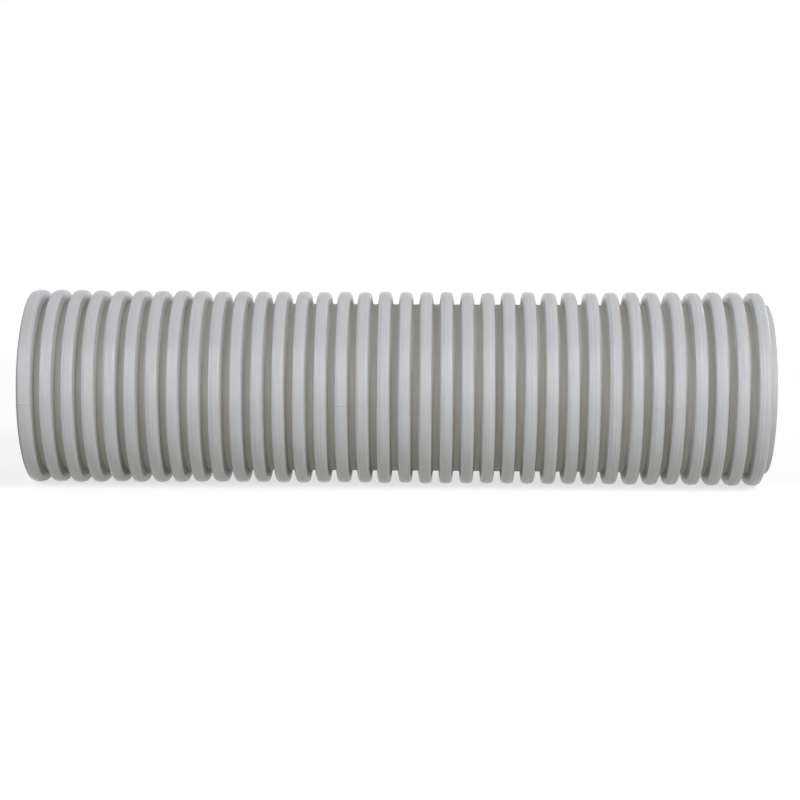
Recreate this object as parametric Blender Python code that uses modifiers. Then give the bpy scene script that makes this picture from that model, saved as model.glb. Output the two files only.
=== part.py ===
"""A straight length of ring-corrugated vacuum hose for a swimming pool.

The hose is one moulded piece of plastic. It lies on its side along X and rests on the plane
z = 0, with the origin under its middle. Its ribs are closed rings with drafted flanks. The
end at -X is cut flush with the outer flank of the first rib, and the end at +X is cut in the
plain wall just before the next rib would start.

The outer wall is one profile turned about the hose's axis. The bore is a plain tube cut out
of it, and the underside is cut flat a little, where the ribs press on what the hose lies on.
"""

import math

import bmesh
import bpy
from mathutils import Vector

# Driving dimensions, in metres.
BORE_DIAMETER = 0.038  # the smallest inside diameter, that of a 38 mm hose
WALL = 0.0011  # thickness of the plain wall between two ribs
RIB_HEIGHT = 0.0030  # from the floor of a valley to the crest of a rib
RIB_BASE = 0.0035  # length of a rib along the hose where it leaves the wall
VALLEY = 0.0014  # length of plain wall between two ribs
RIB_DRAFT = 0.0003  # how far each flank leans in between its base and its crest
RIB_COUNT = 36
REST_FLAT = 0.0005  # depth of the flat that the hose rests on

# How finely the round shape is divided. A multiple of four puts a corner of each ring on
# each side of the hose, so that its width and height are true. Faces that meet at less than
# the sharp angle are shaded as one round surface.
SEGMENTS = 28
SHARP_ANGLE = math.radians(30.0)

# The finish.
HOSE_GREY = (0.50, 0.50, 0.49, 1.0)
HOSE_ROUGHNESS = 0.38

# Sizes that follow.
VALLEY_RADIUS = BORE_DIAMETER / 2 + WALL
CREST_RADIUS = VALLEY_RADIUS + RIB_HEIGHT
PITCH = RIB_BASE + VALLEY
LENGTH = RIB_COUNT * PITCH
AXIS_HEIGHT = CREST_RADIUS - REST_FLAT


def clear_scene():
    """Remove every object that the scene starts with."""
    for old in list(bpy.data.objects):
        bpy.data.objects.remove(old, do_unlink=True)


def new_collection(name):
    """Return a new collection linked to the scene."""
    made = bpy.data.collections.new(name)
    bpy.context.scene.collection.children.link(made)
    return made


def hose_plastic():
    """Return the semi-gloss grey plastic of the hose."""
    made = bpy.data.materials.new("hose_plastic")
    made.use_nodes = True
    shader = made.node_tree.nodes["Principled BSDF"]
    shader.inputs["Base Color"].default_value = HOSE_GREY
    shader.inputs["Roughness"].default_value = HOSE_ROUGHNESS
    shader.inputs["Metallic"].default_value = 0.0
    made.diffuse_color = HOSE_GREY
    return made


def rib_points(start, is_first):
    """Return one rib and the valley after it as (radius, distance along the hose) pairs.

    The outer flank of the first rib is the end face of the hose, so it stands square.
    """
    first_draft = 0.0 if is_first else RIB_DRAFT
    base_end = start + RIB_BASE
    crest = [(CREST_RADIUS, start + first_draft), (CREST_RADIUS, base_end - RIB_DRAFT)]
    foot = [(VALLEY_RADIUS, base_end), (VALLEY_RADIUS, start + PITCH)]
    return crest + foot


def wall_profile():
    """Return the outline of the turned blank, from its axis at one end to its axis at the other.

    It runs down the outer side of the blank, from the plain end to the end with the flush rib.
    """
    along = [(0.0, 0.0)]
    for index in range(RIB_COUNT):
        along += rib_points(index * PITCH, index == 0)
    along.append((0.0, LENGTH))
    return [(radius, distance - LENGTH / 2) for radius, distance in reversed(along)]


def turned_blank(name, profile, collection):
    """Return an object whose profile, at +X, is turned about its own Z axis."""
    mesh = bpy.data.meshes.new(name)
    shape = bmesh.new()
    corners = [shape.verts.new((radius, 0.0, height)) for radius, height in profile]
    for upper, lower in zip(corners, corners[1:]):
        shape.edges.new((upper, lower))
    shape.to_mesh(mesh)
    shape.free()

    blank = bpy.data.objects.new(name, mesh)
    collection.objects.link(blank)
    turn = blank.modifiers.new("turn", "SCREW")
    turn.axis = "Z"
    turn.angle = 2 * math.pi
    turn.steps = SEGMENTS
    turn.render_steps = SEGMENTS
    turn.use_merge_vertices = True
    turn.merge_threshold = 0.00001
    turn.use_smooth_shade = False
    return blank


def mark_as_cutter(cutter):
    """Show a cutter as a wire only, and keep it out of renders."""
    cutter.display_type = "WIRE"
    cutter.hide_render = True


def bore_cutter(collection):
    """Return the plain tube that leaves the bore. It runs one pitch past each end."""
    mesh = bpy.data.meshes.new("bore_cutter")
    shape = bmesh.new()
    bmesh.ops.create_cone(
        shape,
        cap_ends=True,
        segments=SEGMENTS,
        radius1=BORE_DIAMETER / 2,
        radius2=BORE_DIAMETER / 2,
        depth=LENGTH + 2 * PITCH,
    )
    shape.to_mesh(mesh)
    shape.free()
    cutter = bpy.data.objects.new("bore_cutter", mesh)
    collection.objects.link(cutter)
    mark_as_cutter(cutter)
    return cutter


def floor_cutter(collection):
    """Return the block below z = 0 that cuts the underside flat. It runs one pitch past it."""
    size = Vector((LENGTH, 2 * CREST_RADIUS, 0.0)) + 2 * Vector((PITCH, PITCH, PITCH))
    mesh = bpy.data.meshes.new("floor_cutter")
    shape = bmesh.new()
    bmesh.ops.create_cube(shape, size=1.0)
    bmesh.ops.scale(shape, vec=size, verts=shape.verts)
    shape.to_mesh(mesh)
    shape.free()
    cutter = bpy.data.objects.new("floor_cutter", mesh)
    cutter.location = (0.0, 0.0, -size.z / 2)
    collection.objects.link(cutter)
    mark_as_cutter(cutter)
    return cutter


def cut(target, cutter):
    """Take a cutter's shape out of a target."""
    difference = target.modifiers.new(cutter.name, "BOOLEAN")
    difference.operation = "DIFFERENCE"
    difference.solver = "EXACT"
    difference.object = cutter


def finish_surface(piece):
    """Apply a piece's modifiers, and shade its round faces smooth and its corners sharp."""
    evaluated = piece.evaluated_get(bpy.context.evaluated_depsgraph_get())
    mesh = bpy.data.meshes.new_from_object(evaluated)
    piece.modifiers.clear()
    piece.data = mesh
    mesh.shade_smooth()
    mesh.set_sharp_from_angle(angle=SHARP_ANGLE)


def main():
    """Model the hose."""
    clear_scene()
    parts = new_collection("vacuum_hose")
    cutters = new_collection("cutters")

    # Both are made about Z. The quarter turn about Y lays that axis along X.
    hose = turned_blank("corrugated_hose", wall_profile(), parts)
    bore = bore_cutter(cutters)
    for piece in (hose, bore):
        piece.location = (0.0, 0.0, AXIS_HEIGHT)
        piece.rotation_euler = (0.0, math.pi / 2, 0.0)

    cut(hose, bore)
    cut(hose, floor_cutter(cutters))
    finish_surface(hose)
    hose.data.materials.append(hose_plastic())


main()
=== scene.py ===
"""The looks of a straight length of ring-corrugated vacuum hose for a swimming pool.

The hose is one thin moulded wall that follows its ribs inside and out. It lies on its side
along X on a pale floor, in soft studio light, and the camera looks at it square from the side.
All lengths are in metres and all angles are in degrees, unless a name says otherwise.
"""

import logging
import math
from dataclasses import dataclass
from enum import Enum

import bpy
import numpy as np
from mathutils import Matrix, Vector


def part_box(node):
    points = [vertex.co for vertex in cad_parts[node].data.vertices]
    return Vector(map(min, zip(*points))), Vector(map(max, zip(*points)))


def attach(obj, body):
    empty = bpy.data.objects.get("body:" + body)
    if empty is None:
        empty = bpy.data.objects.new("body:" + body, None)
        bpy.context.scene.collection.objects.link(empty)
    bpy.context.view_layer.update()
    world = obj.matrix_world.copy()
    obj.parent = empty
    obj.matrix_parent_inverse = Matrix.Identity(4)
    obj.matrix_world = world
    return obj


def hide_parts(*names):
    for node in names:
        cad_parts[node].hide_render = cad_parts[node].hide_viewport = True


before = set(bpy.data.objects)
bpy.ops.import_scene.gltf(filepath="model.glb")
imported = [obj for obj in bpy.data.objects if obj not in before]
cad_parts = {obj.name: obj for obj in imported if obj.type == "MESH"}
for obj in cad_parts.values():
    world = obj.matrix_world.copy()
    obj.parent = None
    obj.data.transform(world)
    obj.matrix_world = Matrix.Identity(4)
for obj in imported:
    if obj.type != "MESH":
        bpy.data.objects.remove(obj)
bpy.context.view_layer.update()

HOSE_NODE = "corrugated_hose"
BODY = "root"
MM = 0.001
FULL_TURN = 360.0
HALF_TURN = 180.0
WHITE = (1.0, 1.0, 1.0, 1.0)
DAYLIGHT = (0.960, 0.985, 1.035)
NEUTRAL = (0.99, 0.99, 0.99)

LOG = logging.getLogger("vacuum_hose")


class Skin(Enum):
    """The side of the wall that a point of its section lies on."""

    OUTER = "outer"
    INNER = "inner"


@dataclass(frozen=True)
class Corner:
    """One corner of the wall's section, before it is rounded.

    Attributes:
        along: Place along the hose.
        radius: Distance from the hose's axis.
        rounding: Radius of the arc that replaces the corner.
        steps: Number of points on that arc.
    """

    along: float
    radius: float
    rounding: float = 0.0
    steps: int = 1

    def at(self) -> np.ndarray:
        """Return the corner as a point of the section."""
        return np.array((self.along, self.radius))


def round_off(before: Corner, corner: Corner, after: Corner) -> list[np.ndarray]:
    """Replace a corner by points on an arc that touches both of its sides.

    Args:
        before: The corner ahead of it on the path.
        corner: The corner to round.
        after: The corner that follows it.

    Returns:
        The arc's points, in the order of the path.
    """
    if corner.steps == 1:
        return [corner.at()]
    back = before.at() - corner.at()
    ahead = after.at() - corner.at()
    back /= np.linalg.norm(back)
    ahead /= np.linalg.norm(ahead)
    half_angle = math.acos(float(np.clip(back @ ahead, -1.0, 1.0))) / 2
    middle = back + ahead
    middle /= np.linalg.norm(middle)
    centre = corner.at() + middle * corner.rounding / math.sin(half_angle)
    reach = corner.rounding / math.tan(half_angle)
    first = corner.at() + back * reach - centre
    last = corner.at() + ahead * reach - centre
    sweep = math.atan2(first[0] * last[1] - first[1] * last[0], float(first @ last))
    points = []
    for step in range(corner.steps):
        turn = sweep * step / (corner.steps - 1)
        cosine, sine = math.cos(turn), math.sin(turn)
        spoke = (first[0] * cosine - first[1] * sine, first[0] * sine + first[1] * cosine)
        points.append(centre + np.array(spoke))
    return points


@dataclass(frozen=True)
class SolidSize:
    """The size and place of the solid that the hose's wall stands for.

    Attributes:
        start: Place of the ribbed end along the hose.
        end: Place of the plain end along the hose.
        crest: Radius of the ribs.
        axis_height: Height of the hose's axis above the floor.
    """

    start: float
    end: float
    crest: float
    axis_height: float

    @classmethod
    def of_node(cls, node: str) -> "SolidSize":
        """Measure a node of the frame.

        Args:
            node: The node's name.

        Returns:
            Its size and place.
        """
        low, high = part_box(node)
        crest = (high[1] - low[1]) / 2
        return cls(low[0], high[0], crest, high[2] - crest)

    def middle(self) -> Vector:
        """Return the middle of the hose's axis."""
        return Vector(((self.start + self.end) / 2, 0.0, self.axis_height))


@dataclass(frozen=True)
class RibForm:
    """The section of one rib and of the valley after it.

    Attributes:
        base: Length of the rib where it leaves the wall.
        height: From the floor of a valley to the crest.
        draft: How far each flank leans in between its base and its crest.
        wall: Thickness of the wall at crests and valleys.
        flank_wall: Thickness of a flank, which the mould draws thinner.
        shoulder: Radius of the edges of the crest.
        cut_shoulder: Radius of the crest's edge where the hose is cut.
        lip: How far the first rib reaches past the solid's end.
        foot: Radius where a flank meets the valley.
        crown: How much the middle of the crest stands above its edges.
        crown_start: Share of the rib's height above which the crest is crowned.
        crown_points: Places of the points that carry the crown, as shares of the base.
        groove_top: Radius of the corners inside the rib, near its crest.
        groove_mouth: Radius of the edges where the groove opens to the bore.
        cut_edge: Radius of the edges of a cut end.
        shoulder_steps: Number of points on the arc of a shoulder.
        foot_steps: Number of points on the arc of a foot or of a groove's mouth.
        edge_steps: Number of points on the arc of a groove's top or of a cut end's edge.
    """

    base: float = 3.5 * MM
    height: float = 3.0 * MM
    draft: float = 0.3 * MM
    wall: float = 1.1 * MM
    flank_wall: float = 0.95 * MM
    shoulder: float = 0.60 * MM
    cut_shoulder: float = 0.30 * MM
    lip: float = 0.05 * MM
    foot: float = 0.15 * MM
    crown: float = 0.34 * MM
    crown_start: float = 0.6
    crown_points: tuple[float, ...] = (0.36, 0.50, 0.64)
    groove_top: float = 0.28 * MM
    groove_mouth: float = 0.45 * MM
    cut_edge: float = 0.10 * MM
    shoulder_steps: int = 5
    foot_steps: int = 3
    edge_steps: int = 2


@dataclass(frozen=True)
class Unevenness:
    """How far the moulded ribs stray from true rings. Each rib strays in its own way.

    Attributes:
        seed: Start of the repeatable random draw.
        radial: Sizes of the one, two and three fold waves of a crest's radius.
        lean: Sizes of the one, two and three fold waves of a crest's place along the hose.
        swell: Spread of the radii of whole ribs.
        shift: Spread of the places of whole ribs along the hose.
        cut: Sizes of the one, two and three fold waves of a cut end.
        strength: Least and greatest factor that a wave's size is drawn with.
        foot_share: Share of a crest's move along the hose that the rib's foot makes too.
        cut_fade: Distance in which the waves of a cut end die away, as a share of a rib's base.
        flare: How much larger than at the middle the radius is at the ends.
    """

    seed: int = 38
    radial: tuple[float, ...] = (0.045 * MM, 0.040 * MM, 0.020 * MM)
    lean: tuple[float, ...] = (0.050 * MM, 0.035 * MM, 0.020 * MM)
    swell: float = 0.040 * MM
    shift: float = 0.035 * MM
    cut: tuple[float, ...] = (0.040 * MM, 0.050 * MM, 0.030 * MM)
    strength: tuple[float, float] = (0.4, 1.6)
    foot_share: float = 0.3
    cut_fade: float = 0.3
    flare: float = 0.25 * MM

    def waves(self, draw: np.random.Generator, sizes: tuple[float, ...], angle: np.ndarray,
              count: int) -> np.ndarray:
        """Draw slow waves round the hose, anew for each rib.

        Args:
            draw: The repeatable random draw.
            sizes: Size of the one fold wave, the two fold wave and so on.
            angle: Angles of the mesh's columns, in radians.
            count: Number of ribs or cut ends.

        Returns:
            The offset of each of them in each column.
        """
        total = np.zeros((count, len(angle)))
        for fold, size in enumerate(sizes, start=1):
            phase = draw.uniform(0.0, 2 * math.pi, (count, 1))
            strength = draw.uniform(*self.strength, (count, 1))
            total += size * strength * np.cos(fold * angle[None, :] - phase)
        return total


@dataclass(frozen=True)
class MouldLine:
    """The fine raised line that the two halves of the mould leave on both sides of the hose.

    Attributes:
        turn: Angle of the line on the near side, above the level of the axis.
        height: How far the line stands out where two mould blocks meet.
        half_width: Angle from the middle of the line to its edge.
        columns: Number of columns of the mesh that follow the line, half a width apart.
        faint: Share of the height that is left between two block joints.
        block_ribs: Number of ribs that one mould block forms.
        joint_reach: Number of ribs to each side of a block joint that it marks.
    """

    turn: float = -0.6
    height: float = 0.09 * MM
    half_width: float = 0.45
    columns: int = 5
    faint: float = 0.12
    block_ribs: int = 15
    joint_reach: float = 1.1

    def strength(self, rib: np.ndarray) -> np.ndarray:
        """Work out how much of its height the line has along the hose.

        Args:
            rib: Numbers of ribs, with parts of one between them.

        Returns:
            The share of the height at each of them.
        """
        past = np.mod(rib, self.block_ribs)
        gap = np.minimum(past, self.block_ribs - past)
        return self.faint + (1.0 - self.faint) * np.exp(-((gap / self.joint_reach) ** 2))

    def angles(self) -> np.ndarray:
        """Place the columns that follow the line on both sides of the hose.

        Returns:
            Their angles.
        """
        steps = np.arange(self.columns) - (self.columns - 1) / 2
        near = self.turn + self.half_width * steps
        return np.concatenate((near, near + HALF_TURN))

    def ridge(self, angle: np.ndarray) -> np.ndarray:
        """Work out how much of its height the line has round the hose.

        Args:
            angle: Angles in radians.

        Returns:
            The share of the height at each of them.
        """
        turn = np.degrees(angle) - self.turn
        off_line = np.abs(np.mod(turn + HALF_TURN / 2, HALF_TURN) - HALF_TURN / 2)
        return np.clip(1.0 - off_line / self.half_width, 0.0, 1.0)


@dataclass(frozen=True)
class HoseWall:
    """The moulded wall of the hose: its ribs, its bore with a groove in each rib, and its ends.

    Attributes:
        size: Size and place of the solid that the wall stands for.
        rib: Section of one rib.
        uneven: How far the ribs stray from true rings.
        line: The line that the mould leaves.
        rib_count: Number of ribs.
        columns: Number of even steps round the hose.
        press_blend: Height over which the flat that the hose rests on runs out.
        sharp_angle: Angle between two faces from which their edge is shaded sharp.
        within: Share of a pitch that keeps the points of the plain end in the last rib.
    """

    size: SolidSize
    rib: RibForm = RibForm()
    uneven: Unevenness = Unevenness()
    line: MouldLine = MouldLine()
    rib_count: int = 36
    columns: int = 80
    press_blend: float = 0.02 * MM
    sharp_angle: float = 50.0
    within: float = 1e-6

    def pitch(self) -> float:
        """Return the distance from one rib to the next."""
        return (self.size.end - self.size.start) / self.rib_count

    def valley(self) -> float:
        """Return the radius of the plain wall between two ribs."""
        return self.size.crest - self.rib.height

    def outer_corners(self) -> list[Corner]:
        """List the corners of the outer side.

        Returns:
            The corners, from the ribbed end to the plain end.
        """
        rib, crest, valley, pitch = self.rib, self.size.crest, self.valley(), self.pitch()
        corners = []
        for number in range(self.rib_count):
            left = self.size.start + number * pitch
            right = left + rib.base
            if number == 0:
                lip = left - rib.lip
                corners.append(Corner(lip, crest, rib.cut_shoulder, rib.shoulder_steps))
            else:
                corners.append(Corner(left, valley, rib.foot, rib.foot_steps))
                corners.append(Corner(left + rib.draft, crest, rib.shoulder, rib.shoulder_steps))
            for share in rib.crown_points:
                corners.append(Corner(left + share * rib.base, crest))
            corners.append(Corner(right - rib.draft, crest, rib.shoulder, rib.shoulder_steps))
            corners.append(Corner(right, valley, rib.foot, rib.foot_steps))
            if number < self.rib_count - 1:
                corners.append(Corner((right + left + pitch) / 2, valley))
        corners.append(Corner(self.size.end, valley, rib.cut_edge, rib.edge_steps))
        return corners

    def inner_corners(self) -> list[Corner]:
        """List the corners of the inner side.

        Returns:
            The corners, from the plain end back to the ribbed end.
        """
        rib, pitch = self.rib, self.pitch()
        groove = self.size.crest - rib.wall
        bore = self.valley() - rib.wall
        corners = [Corner(self.size.end, bore, rib.cut_edge, rib.edge_steps)]
        for number in reversed(range(self.rib_count)):
            left = self.size.start + number * pitch + rib.flank_wall
            right = left + rib.base - 2 * rib.flank_wall
            corners.append(Corner(right, bore, rib.groove_mouth, rib.foot_steps))
            corners.append(Corner(right - rib.draft, groove, rib.groove_top, rib.edge_steps))
            corners.append(Corner(left + rib.draft, groove, rib.groove_top, rib.edge_steps))
            corners.append(Corner(left, bore, rib.groove_mouth, rib.foot_steps))
        lip = self.size.start - rib.lip
        corners.append(Corner(lip, bore, rib.cut_edge, rib.edge_steps))
        return corners

    def section(self) -> tuple[np.ndarray, np.ndarray]:
        """Return the closed outline of the wall's section.

        Returns:
            The points as rows of place along the hose and radius, and a row of 1 for each
            point on the outer side and 0 for each on the inner side.
        """
        sides = {Skin.OUTER: self.outer_corners(), Skin.INNER: self.inner_corners()}
        corners = [(corner, skin) for skin, side in sides.items() for corner in side]
        points, outer = [], []
        for index, (corner, skin) in enumerate(corners):
            before = corners[index - 1][0]
            after = corners[(index + 1) % len(corners)][0]
            for point in round_off(before, corner, after):
                points.append(point)
                outer.append(1.0 if skin is Skin.OUTER else 0.0)
        return np.array(points), np.array(outer)

    def angles(self) -> np.ndarray:
        """Place the columns of the mesh round the hose, closer together at the mould line.

        Returns:
            Their angles in radians.
        """
        step = FULL_TURN / self.columns
        even = self.line.turn + step * (np.arange(self.columns) + 0.5)
        every = np.concatenate((even, self.line.angles()))
        return np.radians(np.sort(np.mod(every, FULL_TURN)))

    def lift(self, radius: np.ndarray, outer: np.ndarray) -> np.ndarray:
        """Work out how high up their rib the section's points lie.

        Args:
            radius: Radius of each point.
            outer: 1 for each point on the outer side, and 0 for each on the inner side.

        Returns:
            A share from 0 at the valley to 1 at the crest for each point.
        """
        floor = np.where(outer > 0.5, self.valley(), self.valley() - self.rib.wall)
        return np.clip((radius - floor) / self.rib.height, 0.0, 1.0)

    def crown(self, across: np.ndarray, lift: np.ndarray) -> np.ndarray:
        """Work out how far the section's points lie below the middle of their crest.

        Args:
            across: Distance of each point from the start of its rib.
            lift: How high up its rib each point lies.

        Returns:
            The drop of each point.
        """
        rib = self.rib
        from_middle = np.clip(across / rib.base * 2 - 1, -1.0, 1.0)
        near_top = np.clip((lift - rib.crown_start) / (1.0 - rib.crown_start), 0.0, 1.0)
        return rib.crown * from_middle**2 * near_top

    def stray(self, along: np.ndarray, radius: np.ndarray, rib_number: np.ndarray,
              lift: np.ndarray, angle: np.ndarray) -> tuple[np.ndarray, np.ndarray]:
        """Let the ribs and the cut ends stray from true rings, and flare the ends.

        Args:
            along: Place of each section point along the hose, as a column.
            radius: Its radius, as a column.
            rib_number: Number of its rib.
            lift: How high up its rib it lies, as a column.
            angle: Angles of the mesh's columns, in radians.

        Returns:
            The places along the hose and the radii, for each section point and column.
        """
        uneven, start, end = self.uneven, self.size.start, self.size.end
        draw = np.random.default_rng(uneven.seed)
        swell = uneven.waves(draw, uneven.radial, angle, self.rib_count)
        swell += draw.normal(0.0, uneven.swell, (self.rib_count, 1))
        lean = uneven.waves(draw, uneven.lean, angle, self.rib_count)
        lean += draw.normal(0.0, uneven.shift, (self.rib_count, 1))
        cuts = uneven.waves(draw, uneven.cut, angle, 2)

        middle = (start + end) / 2
        flare = uneven.flare * ((along - middle) / (end - middle)) ** 2
        inside = np.clip(np.minimum(along - start, end - along) / self.pitch(), 0.0, 1.0)
        carried = uneven.foot_share + (1.0 - uneven.foot_share) * lift
        shifted = along + lean[rib_number] * carried * inside
        fade = uneven.cut_fade * self.rib.base
        for cut, distance in zip(cuts, (along - start, end - along)):
            shifted = shifted + cut[None, :] * np.exp(-distance / fade)
        return shifted, radius + swell[rib_number] * lift + flare

    def grid(self) -> np.ndarray:
        """Turn the section round the axis, with all that strays from true rings.

        Returns:
            The wall's points as an array of section points, columns and coordinates.
        """
        outline, outer = self.section()
        angle = self.angles()
        reach = self.rib_count - self.within
        place = np.clip((outline[:, 0] - self.size.start) / self.pitch(), 0.0, reach)
        number = place.astype(int)
        lift = self.lift(outline[:, 1], outer)
        crowned = outline[:, 1] - self.crown((place - number) * self.pitch(), lift) * outer
        along, radius = self.stray(outline[:, :1], crowned[:, None], number, lift[:, None], angle)

        # Half a pitch less makes each whole number the middle of a rib.
        seam = self.line.height * self.line.strength(place - 0.5) * outer
        radius = radius + seam[:, None] * self.line.ridge(angle)[None, :]

        across = -radius * np.cos(angle)[None, :]
        up = self.size.axis_height + radius * np.sin(angle)[None, :]
        pressed = (up + np.sqrt(up**2 + self.press_blend**2)) / 2
        return np.stack((along, across, pressed), axis=-1)

    def build(self) -> bpy.types.Object:
        """Build the wall as one closed mesh that stands for the solid.

        Returns:
            The wall's object.
        """
        grid = self.grid()
        rows, columns, _ = grid.shape
        index = np.arange(rows * columns).reshape(rows, columns)
        onward = np.roll(index, -1, axis=0)
        around = [index, onward, np.roll(onward, -1, axis=1), np.roll(index, -1, axis=1)]
        faces = np.stack(around, axis=-1)
        mesh = bpy.data.meshes.new("hose_wall")
        mesh.from_pydata(grid.reshape(-1, 3).tolist(), [], faces.reshape(-1, 4).tolist())
        mesh.shade_smooth()
        mesh.set_sharp_from_angle(angle=math.radians(self.sharp_angle))
        mesh.update()
        wall = bpy.data.objects.new("hose_wall", mesh)
        bpy.context.scene.collection.objects.link(wall)
        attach(wall, BODY)
        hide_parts(HOSE_NODE)
        return wall

    def dress(self, wall: bpy.types.Object, finish: "HosePlastic") -> None:
        """Give the wall its finish.

        Args:
            wall: The wall's object.
            finish: The plastic it is moulded from.
        """
        plain_wall = self.size.end - self.pitch() + self.rib.base
        made = finish.make(self.size.axis_height, self.valley(), self.size.crest,
                           self.size.start, plain_wall)
        wall.data.materials.append(made)


class Graph:
    """A material's or the world's node tree, with short calls to add and join nodes."""

    def __init__(self, tree: bpy.types.NodeTree) -> None:
        """Take over a node tree and empty it.

        Args:
            tree: The tree to fill.
        """
        self.tree = tree
        tree.nodes.clear()

    def add(self, kind: str, **inputs: object) -> bpy.types.Node:
        """Add a node.

        Args:
            kind: The node's type name.
            inputs: Values or sockets for its inputs, by their names in lower case, with an
                underscore for each space.

        Returns:
            The new node.
        """
        node = self.tree.nodes.new(kind)
        for name, value in inputs.items():
            self.feed(node, name, value)
        return node

    def feed(self, node: bpy.types.Node, name: str, value: object) -> None:
        """Set or link one input of a node.

        Args:
            node: The node.
            name: The input's name in lower case, or its number after the letter i.
            value: A value, or an output socket to link.
        """
        if name[0] == "i" and name[1:].isdigit():
            socket = node.inputs[int(name[1:])]
        else:
            socket = next(s for s in node.inputs if s.name.lower().replace(" ", "_") == name)
        self.set_socket(socket, value)

    def set_socket(self, socket: bpy.types.NodeSocket, value: object) -> None:
        """Set or link an input socket.

        Args:
            socket: The input.
            value: A value, or an output socket to link.
        """
        if isinstance(value, bpy.types.NodeSocket):
            self.tree.links.new(value, socket)
        else:
            socket.default_value = value

    def math(self, operation: str, *terms: object) -> bpy.types.NodeSocket:
        """Add a sum or other operation on numbers.

        Args:
            operation: Name of the operation.
            terms: Its terms, as values or sockets.

        Returns:
            The result's socket.
        """
        node = self.tree.nodes.new("ShaderNodeMath")
        node.operation = operation
        for number, term in enumerate(terms):
            self.feed(node, f"i{number}", term)
        return node.outputs[0]

    def spread(self, value: bpy.types.NodeSocket, low: float, high: float, to_low: float,
               to_high: float) -> bpy.types.NodeSocket:
        """Map a range of numbers to another, and stop at its ends.

        Args:
            value: The number.
            low: Low end of its range.
            high: High end of its range.
            to_low: What the low end becomes.
            to_high: What the high end becomes.

        Returns:
            The result's socket.
        """
        node = self.add("ShaderNodeMapRange", value=value, from_min=low, from_max=high,
                        to_min=to_low, to_max=to_high)
        return node.outputs["Result"]

    def noise(self, place: bpy.types.NodeSocket, scale: float, detail: float
              ) -> bpy.types.NodeSocket:
        """Add smooth noise.

        Args:
            place: The coordinates.
            scale: Number of blotches in one unit of the coordinates.
            detail: Number of finer layers.

        Returns:
            The noise's socket, from 0 to 1.
        """
        node = self.add("ShaderNodeTexNoise", vector=place, scale=scale, detail=detail)
        return node.outputs["Fac"]

    def stretch(self, place: bpy.types.NodeSocket, scale: tuple[float, float, float]
                ) -> bpy.types.NodeSocket:
        """Scale coordinates by a different factor along each axis.

        Args:
            place: The coordinates.
            scale: The three factors.

        Returns:
            The scaled coordinates' socket.
        """
        node = self.add("ShaderNodeMapping", vector=place)
        node.inputs["Scale"].default_value = scale
        return node.outputs["Vector"]

    def tint(self, share: object, first: object, second: object) -> bpy.types.NodeSocket:
        """Mix two colours.

        Args:
            share: Share of the second colour.
            first: The first colour.
            second: The second colour.

        Returns:
            The mixed colour's socket.
        """
        node = self.tree.nodes.new("ShaderNodeMix")
        node.data_type = "RGBA"
        for name, value in (("Factor_Float", share), ("A_Color", first), ("B_Color", second)):
            self.set_socket(next(s for s in node.inputs if s.identifier == name), value)
        return next(s for s in node.outputs if s.identifier == "Result_Color")

    def seen_directly(self) -> bpy.types.NodeSocket:
        """Tell rays that see a thing from rays that only carry its light.

        Returns:
            A socket that is 1 for rays from the camera, from glossy surfaces and through glass.
        """
        path = self.tree.nodes.new("ShaderNodeLightPath")
        seen = self.math("MAXIMUM", path.outputs["Is Camera Ray"], path.outputs["Is Glossy Ray"])
        return self.math("MAXIMUM", seen, path.outputs["Is Transmission Ray"])


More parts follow.
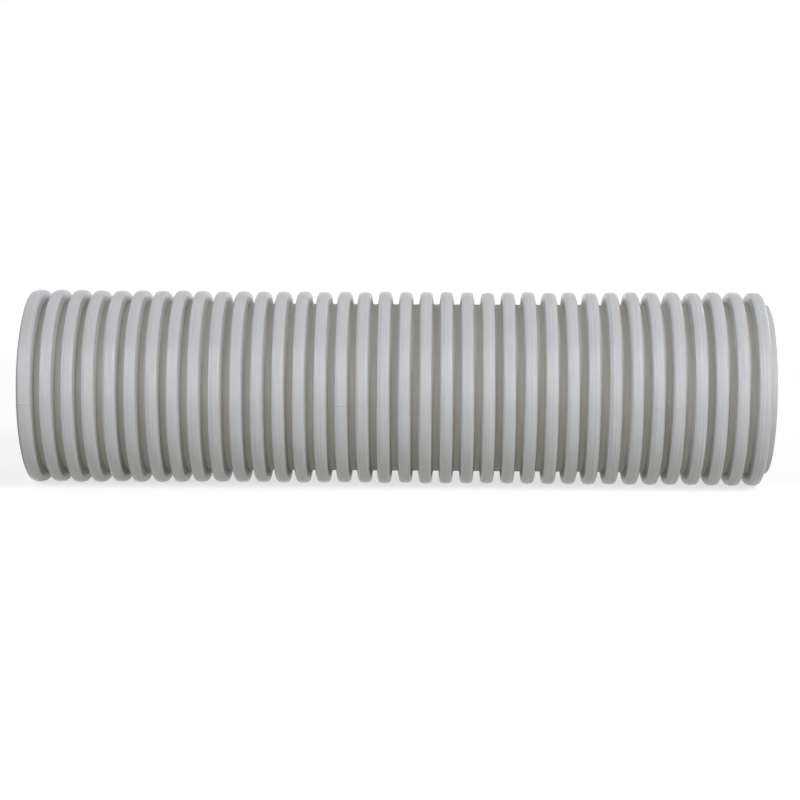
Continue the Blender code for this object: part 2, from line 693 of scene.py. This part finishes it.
@dataclass(frozen=True)
class HosePlastic:
    """Light grey moulded polyethylene, semi-gloss, with fine turned rings on its crests.

    A height here is a share from 0 at the valley to 1 at the crest.

    Attributes:
        crest_colour: Colour of the crests.
        valley_shade_colour: Painted shade on the valleys, a little darker and warmer than the
            crests.
        cut_edge_shade_colour: Painted shade on the rim of the rib that the hose is cut at.
        cut_reach: How far that rim reaches along the hose.
        cut_full: Share of that reach in which the rim has its full colour.
        cut_heights: Heights at which the rim starts and has its full colour.
        blotch: How much slow blotches darken or lighten the colour.
        blotch_scale: Number of blotches in a metre.
        blotch_detail: Number of finer layers in the blotches.
        blotch_range: Levels of the noise at which a blotch is darkest and lightest.
        crest_roughness: Roughness of the crests, which the mould polishes.
        valley_roughness: Roughness of the valleys.
        refraction: Index of refraction.
        ring_depth: Depth of the fine rings.
        ring_scale: Number of rings in a metre along the hose, and how fast they change round it.
        ring_heights: Heights at which the rings start to grow and are at their full depth.
        valley_rings: Share of their depth that the rings have in the valleys.
        grain_depth: Depth of the fine grain.
        grain_scale: Number of grains in a metre.
        grain_detail: Number of finer layers in the grain.
        grain_range: Levels of the noise at which a grain is smoothest and roughest.
        grain_rough: How much the grain changes the roughness.
    """

    crest_colour: tuple[float, ...] = (0.505, 0.508, 0.523, 1.0)
    valley_shade_colour: tuple[float, ...] = (0.512, 0.498, 0.456, 1.0)
    cut_edge_shade_colour: tuple[float, ...] = (0.270, 0.262, 0.245, 1.0)
    cut_reach: float = 0.50 * MM
    cut_full: float = 0.3
    cut_heights: tuple[float, float] = (0.75, 0.90)
    blotch: float = 0.03
    blotch_scale: float = 90.0
    blotch_detail: float = 3.0
    blotch_range: tuple[float, float] = (0.3, 0.7)
    crest_roughness: float = 0.12
    valley_roughness: float = 0.50
    refraction: float = 1.5
    ring_depth: float = 0.220 * MM
    ring_scale: tuple[float, float, float] = (2000.0, 8.0, 8.0)
    ring_heights: tuple[float, float] = (0.6, 0.95)
    valley_rings: float = 0.15
    grain_depth: float = 0.012 * MM
    grain_scale: float = 1400.0
    grain_detail: float = 2.0
    grain_range: tuple[float, float] = (0.2, 0.8)
    grain_rough: float = 0.03

    def height(self, graph: Graph, parts: bpy.types.Node, axis_height: float, valley: float,
               crest: float) -> bpy.types.NodeSocket:
        """Work out how high up its rib a point of the surface lies.

        Args:
            graph: The material's nodes.
            parts: The node that gives the point's three coordinates.
            axis_height: Height of the hose's axis.
            valley: Radius of the valleys.
            crest: Radius of the crests.

        Returns:
            The height's socket.
        """
        above = graph.math("SUBTRACT", parts.outputs["Z"], axis_height)
        beside_squared = graph.math("POWER", parts.outputs["Y"], 2.0)
        above_squared = graph.math("POWER", above, 2.0)
        radius = graph.math("SQRT", graph.math("ADD", beside_squared, above_squared))
        return graph.spread(radius, valley, crest, 0.0, 1.0)

    def colour(self, graph: Graph, place: bpy.types.NodeSocket, along: bpy.types.NodeSocket,
               height: bpy.types.NodeSocket, cut_rib: float, plain_wall: float
               ) -> bpy.types.NodeSocket:
        """Mix the crest colour with the painted shade of the valleys and of the cut rim, and add
        slow blotches.

        Args:
            graph: The material's nodes.
            place: The point's coordinates.
            along: Its place along the hose.
            height: Its height on its rib.
            cut_rib: Place along the hose where the first rib is cut.
            plain_wall: Place along the hose where the last rib ends and the plain wall starts.

        Returns:
            The colour's socket.
        """
        # Painted shade: the valleys get a darker, warmer colour. The plain wall past the last rib
        # has no rib beside it and keeps the crest colour.
        open_wall = graph.math("GREATER_THAN", along, plain_wall)
        unshaded_share = graph.math("MAXIMUM", height, open_wall)
        colour = graph.tint(unshaded_share, self.valley_shade_colour, self.crest_colour)
        # Painted shade: a thin dark band on the crest of the cut rib, for its edge that faces
        # away from the lamps.
        by_cut = graph.spread(along, cut_rib + self.cut_full * self.cut_reach,
                              cut_rib + self.cut_reach, 1.0, 0.0)
        on_rim = graph.spread(height, *self.cut_heights, 0.0, 1.0)
        colour = graph.tint(graph.math("MULTIPLY", by_cut, on_rim), colour, self.cut_edge_shade_colour)
        blotches = graph.noise(place, self.blotch_scale, self.blotch_detail)
        darker = graph.spread(blotches, *self.blotch_range, -self.blotch, self.blotch)
        bright = graph.add("ShaderNodeHueSaturation", color=colour)
        graph.feed(bright, "value", graph.math("ADD", darker, 1.0))
        return bright.outputs["Color"]

    def relief(self, graph: Graph, place: bpy.types.NodeSocket, height: bpy.types.NodeSocket,
               grain: bpy.types.NodeSocket) -> bpy.types.NodeSocket:
        """Raise the fine rings and the grain on them.

        Args:
            graph: The material's nodes.
            place: The point's coordinates.
            height: Its height on its rib.
            grain: Level of the grain there.

        Returns:
            The socket of the surface's direction.
        """
        rings = graph.noise(graph.stretch(place, self.ring_scale), 1.0, 0.0)
        ring_bump = graph.add("ShaderNodeBump", height=rings, distance=self.ring_depth)
        strength = graph.spread(height, *self.ring_heights, self.valley_rings, 1.0)
        graph.feed(ring_bump, "strength", strength)
        grain_bump = graph.add("ShaderNodeBump", height=grain, distance=self.grain_depth)
        graph.feed(grain_bump, "normal", ring_bump.outputs["Normal"])
        return grain_bump.outputs["Normal"]

    def roughness(self, graph: Graph, height: bpy.types.NodeSocket,
                  grain: bpy.types.NodeSocket) -> bpy.types.NodeSocket:
        """Lower the roughness from the valley to the crest, and vary it with the grain.

        Args:
            graph: The material's nodes.
            height: The point's height on its rib.
            grain: Level of the grain there.

        Returns:
            The roughness's socket.
        """
        polish = graph.spread(height, 0.0, 1.0, self.valley_roughness, self.crest_roughness)
        change = graph.spread(grain, *self.grain_range, -self.grain_rough, self.grain_rough)
        return graph.math("ADD", polish, change)

    def make(self, axis_height: float, valley: float, crest: float, cut_rib: float,
             plain_wall: float) -> bpy.types.Material:
        """Make the material.

        Args:
            axis_height: Height of the hose's axis.
            valley: Radius of the valleys.
            crest: Radius of the crests.
            cut_rib: Place along the hose where the first rib is cut.
            plain_wall: Place along the hose where the last rib ends and the plain wall starts.

        Returns:
            The material.
        """
        made = bpy.data.materials.new("hose_plastic_look")
        made.use_nodes = True
        graph = Graph(made.node_tree)
        place = graph.add("ShaderNodeTexCoord").outputs["Object"]
        parts = graph.add("ShaderNodeSeparateXYZ", vector=place)
        height = self.height(graph, parts, axis_height, valley, crest)
        colour = self.colour(graph, place, parts.outputs["X"], height, cut_rib, plain_wall)
        grain = graph.noise(place, self.grain_scale, self.grain_detail)
        shader = graph.add(
            "ShaderNodeBsdfPrincipled",
            base_color=colour,
            roughness=self.roughness(graph, height, grain),
            ior=self.refraction,
            normal=self.relief(graph, place, height, grain),
        )
        graph.add("ShaderNodeOutputMaterial", surface=shader.outputs["BSDF"])
        return made


@dataclass(frozen=True)
class StudioFloor:
    """The pale surface under the hose. It is seen white, and keeps the hose's soft shadow.

    Attributes:
        side: Length of its sides.
        drop: How far it lies below the hose, so that the faces don't meet.
        near_white: Share of the white that no shadow takes away, close to the hose.
        far_white: The same share where the lamps no longer reach.
        near: Distance from the middle of the hose up to which the first share holds.
        far: Distance from which the second share holds.
        shaded: Colour of the part that shows the shadow.
        bounce: Colour with which it lights the hose.
    """

    side: float = 6.0
    drop: float = 0.02 * MM
    near_white: float = 0.69
    far_white: float = 1.0
    near: float = 0.20
    far: float = 0.60
    shaded: tuple[float, ...] = (0.46, 0.46, 0.46, 1.0)
    bounce: tuple[float, ...] = (0.51, 0.50, 0.43, 1.0)

    def make(self) -> bpy.types.Material:
        """Make the material.

        Returns:
            The material.
        """
        made = bpy.data.materials.new("studio_floor_look")
        made.use_nodes = True
        graph = Graph(made.node_tree)
        place = graph.add("ShaderNodeTexCoord").outputs["Object"]
        length = graph.add("ShaderNodeVectorMath", i0=place)
        length.operation = "LENGTH"
        white = graph.spread(length.outputs["Value"], self.near, self.far,
                             self.near_white, self.far_white)
        glow = graph.add("ShaderNodeEmission", color=WHITE, strength=white)
        shadow = graph.add("ShaderNodeBsdfDiffuse", color=self.shaded)
        seen = graph.add("ShaderNodeAddShader", i0=glow.outputs[0], i1=shadow.outputs[0])
        bounce = graph.add("ShaderNodeBsdfDiffuse", color=self.bounce)
        either = graph.add("ShaderNodeMixShader", i0=graph.seen_directly(),
                           i1=bounce.outputs[0], i2=seen.outputs[0])
        graph.add("ShaderNodeOutputMaterial", surface=either.outputs[0])
        return made

    def build(self) -> bpy.types.Object:
        """Build the floor and mark it as no part of the hose.

        Returns:
            The floor's object.
        """
        half = self.side / 2
        corners = [(-half, -half, 0.0), (half, -half, 0.0), (half, half, 0.0), (-half, half, 0.0)]
        mesh = bpy.data.meshes.new("studio_floor")
        mesh.from_pydata(corners, [], [(0, 1, 2, 3)])
        floor = bpy.data.objects.new("studio_floor", mesh)
        floor.location.z = -self.drop
        bpy.context.scene.collection.objects.link(floor)
        mesh.materials.append(self.make())
        return floor


@dataclass(frozen=True)
class Softbox:
    """A soft rectangular lamp that faces the hose.

    Attributes:
        name: Name of the lamp.
        azimuth: Angle to the right of the camera's side of the hose.
        elevation: Angle above the floor.
        distance: Distance from the hose.
        width: Length of its level side.
        depth: Length of its other side.
        power: Its power in watts.
        tint: Colour of its light.
    """

    name: str
    azimuth: float
    elevation: float
    distance: float
    width: float
    depth: float
    power: float
    tint: tuple[float, ...] = DAYLIGHT

    def build(self, target: Vector) -> bpy.types.Object:
        """Build the lamp.

        Args:
            target: The point that it faces.

        Returns:
            The lamp's object.
        """
        light = bpy.data.lights.new(self.name, "AREA")
        light.shape = "RECTANGLE"
        light.size = self.width
        light.size_y = self.depth
        light.energy = self.power
        light.color = self.tint
        lamp = bpy.data.objects.new(self.name, light)
        lamp.visible_camera = False
        azimuth, elevation = math.radians(self.azimuth), math.radians(self.elevation)
        level = math.cos(elevation)
        way = Vector((math.sin(azimuth) * level, -math.cos(azimuth) * level, math.sin(elevation)))
        lamp.location = target + way * self.distance
        lamp.rotation_euler = way.to_track_quat("Z", "Y").to_euler()
        bpy.context.scene.collection.objects.link(lamp)
        return lamp


@dataclass(frozen=True)
class Studio:
    """The floor, the lamps and the surroundings.

    Attributes:
        floor: The floor.
        lamps: The lamps.
        ambient: Light from all round. The surroundings are still seen white.
    """

    floor: StudioFloor = StudioFloor()
    lamps: tuple[Softbox, ...] = (
        Softbox("right_softbox", 42.0, 36.0, distance=0.7, width=0.50, depth=0.46, power=0.7),
        Softbox("right_strip", 42.0, 36.0, distance=0.7, width=0.08, depth=0.28, power=1.68),
        Softbox("left_softbox", -40.0, 35.0, distance=1.2, width=0.9, depth=0.6, power=3.6),
        Softbox("top_softbox", 180.0, 62.0, distance=1.2, width=1.2, depth=0.8, power=1.2),
        Softbox("low_right_softbox", 60.0, 10.0, distance=1.2, width=1.2, depth=0.4, power=2.35,
                tint=NEUTRAL),
        Softbox("low_left_softbox", -15.0, 13.0, distance=1.2, width=1.6, depth=0.6, power=3.6,
                tint=NEUTRAL),
        Softbox("rear_right_softbox", 128.0, 15.0, distance=1.2, width=0.6, depth=0.5, power=2.0),
        Softbox("rear_left_softbox", -128.0, 15.0, distance=1.2, width=0.6, depth=0.5, power=2.0),
    )
    ambient: tuple[float, ...] = (0.141, 0.140, 0.138, 1.0)

    def build(self, target: Vector) -> None:
        """Build the studio round a point.

        Args:
            target: The point that the lamps face.
        """
        self.floor.build()
        LOG.info("floor: %.1f m square", self.floor.side)
        for lamp in self.lamps:
            lamp.build(target)
            LOG.info("lamp: %s, %.1f W", lamp.name, lamp.power)
        world = bpy.data.worlds.new("studio_surroundings")
        world.use_nodes = True
        graph = Graph(world.node_tree)
        colour = graph.tint(graph.seen_directly(), self.ambient, WHITE)
        light = graph.add("ShaderNodeBackground", color=colour, strength=1.0)
        graph.add("ShaderNodeOutputWorld", surface=light.outputs[0])
        bpy.context.scene.world = world
        bpy.context.scene.view_settings.view_transform = "Standard"


@dataclass(frozen=True)
class SideCamera:
    """The camera that looks at the hose square from the side, from a little above.

    Attributes:
        distance: Distance from the hose's axis.
        beside: How far it stands to the right of the middle of the hose.
        elevation: Angle of the camera above the level of the axis.
        pan: Angle that it turns to the left, towards the middle of the hose.
        aim_below: Angle that it aims below the axis.
        roll: Angle that it leans over, which lets the right end of the hose sink.
        lens: Focal length in millimetres.
        sensor: Width of the sensor in millimetres.
        nearest: Distance from which things are seen.
        farthest: Distance up to which they are seen.
    """

    distance: float = 506.6 * MM
    beside: float = 12.0 * MM
    elevation: float = 10.0
    pan: float = 1.316
    aim_below: float = 0.344
    roll: float = 0.298
    lens: float = 94.3
    sensor: float = 36.0
    nearest: float = 0.01
    farthest: float = 20.0

    def build(self, target: Vector) -> bpy.types.Object:
        """Build the camera and make it the scene's.

        Args:
            target: The middle of the hose's axis.

        Returns:
            The camera's object.
        """
        camera = bpy.data.cameras.new("side_camera")
        camera.lens = self.lens
        camera.sensor_width = self.sensor
        camera.clip_start = self.nearest
        camera.clip_end = self.farthest
        seat = bpy.data.objects.new("side_camera", camera)
        raised = Matrix.Rotation(-math.radians(self.elevation), 4, "X")
        panned = Matrix.Rotation(math.radians(self.pan), 4, "Z")
        aimed = Matrix.Rotation(math.radians(90.0 - self.aim_below), 4, "X")
        rolled = Matrix.Rotation(math.radians(self.roll), 4, "Z")
        place = target + raised @ Vector((self.beside, -self.distance, 0.0))
        seat.matrix_world = Matrix.Translation(place) @ raised @ panned @ aimed @ rolled
        bpy.context.scene.collection.objects.link(seat)
        bpy.context.scene.camera = seat
        return seat


def main() -> None:
    """Build the hose, the studio and the camera."""
    logging.basicConfig(level=logging.INFO, format="%(name)s: %(message)s")
    size = SolidSize.of_node(HOSE_NODE)
    wall = HoseWall(size)
    middle = size.middle()
    SideCamera().build(middle)
    hose = wall.build()
    wall.dress(hose, HosePlastic())
    LOG.info("hose wall: %d ribs, %d faces", wall.rib_count, len(hose.data.polygons))
    Studio().build(middle)


if __name__ == "__main__":
    main()
